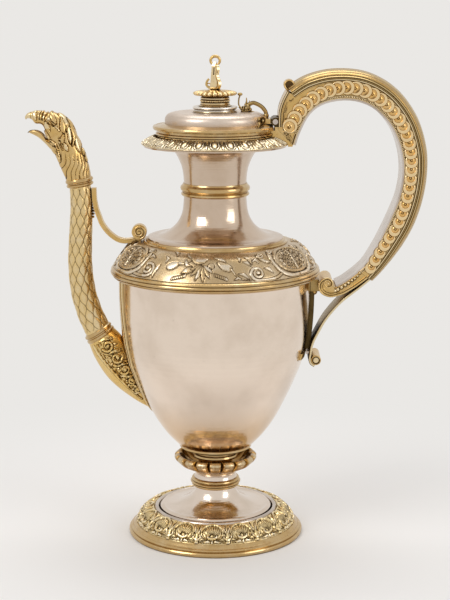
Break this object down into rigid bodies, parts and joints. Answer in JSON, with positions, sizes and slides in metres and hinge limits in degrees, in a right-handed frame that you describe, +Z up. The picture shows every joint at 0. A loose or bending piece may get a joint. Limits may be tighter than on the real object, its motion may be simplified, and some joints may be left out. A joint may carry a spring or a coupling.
{
  "type": "covered ewer",
  "caption": "Tall parcel-gilt silver covered pouring pot with a creature-headed spout, strap scroll handle, domed foot and hinged cover with thumbpiece and finial.",
  "frame": {"origin": "centre of the foot on the plane the pot stands on, on the axis of the turned body", "axes": "+Z up the body axis to the finial, -X towards the spout, +X towards the handle, Y across the pot along the hinge pin"},
  "size_m": [0.286, 0.1512, 0.3504],
  "materials": {
    "silver": "polished",
    "silver_gilt": "polished"
  },
  "bodies": {
    "ewer": {"foot_rim": "silver_gilt", "foot_border": "silver_gilt", "foot_bead": "silver", "foot_dish": "silver", "stem_washer": "silver", "stem_nut": "silver", "stem_rod": "silver", "stem_ring": "silver_gilt", "stem_spool": "silver", "knop_petals": "silver_gilt", "knop_collar": "silver_gilt", "body_socket": "silver_gilt", "body_shell": "silver", "shoulder_moulding": "silver_gilt", "shoulder_band": "silver_gilt", "shoulder_fillet": "silver_gilt", "neck_lower": "silver", "neck_collar": "silver_gilt", "neck_upper": "silver", "mouth_border": "silver_gilt", "mouth_collar": "silver_gilt", "hinge_pin": "silver", "hinge_knuckles": "silver_gilt", "handle_saddle": "silver_gilt", "handle_front_plate": "silver_gilt", "handle_outer_strap": "silver_gilt", "handle_inner_strap": "silver", "handle_cheeks": "silver_gilt", "handle_discs": "silver_gilt", "handle_top_roll": "silver_gilt", "handle_volute": "silver_gilt", "handle_shoulder_block": "silver_gilt", "handle_stay": "silver_gilt", "handle_tail": "silver_gilt", "handle_tail_roll": "silver_gilt", "handle_clip": "silver_gilt", "handle_rivets": "silver", "spout_plate": "silver_gilt", "spout_horn": "silver_gilt", "spout_low_collar": "silver_gilt", "spout_tube": "silver_gilt", "spout_top_collar": "silver_gilt", "spout_head": "silver_gilt", "spout_jaw": "silver_gilt", "spout_stay": "silver_gilt", "spout_pad": "silver_gilt"},
    "cover": {"cover_edge": "silver_gilt", "cover_bezel": "silver", "cover_dome": "silver", "cover_plinth": "silver_gilt", "finial_drum": "silver_gilt", "finial_rosette": "silver_gilt", "finial_scrolls": "silver_gilt", "finial_screw": "silver", "finial_nut": "silver", "cover_hinge_strap": "silver_gilt", "cover_knuckle": "silver_gilt", "thumbpiece": "silver_gilt"}
  },
  "joints": [
    {"name": "cover_hinge", "type": "hinge", "parent": "ewer", "child": "cover", "pos_m": [0.0425, 0, 0.304], "axis": [0, 1, 0], "range_deg": [0, 50]}
  ]
}
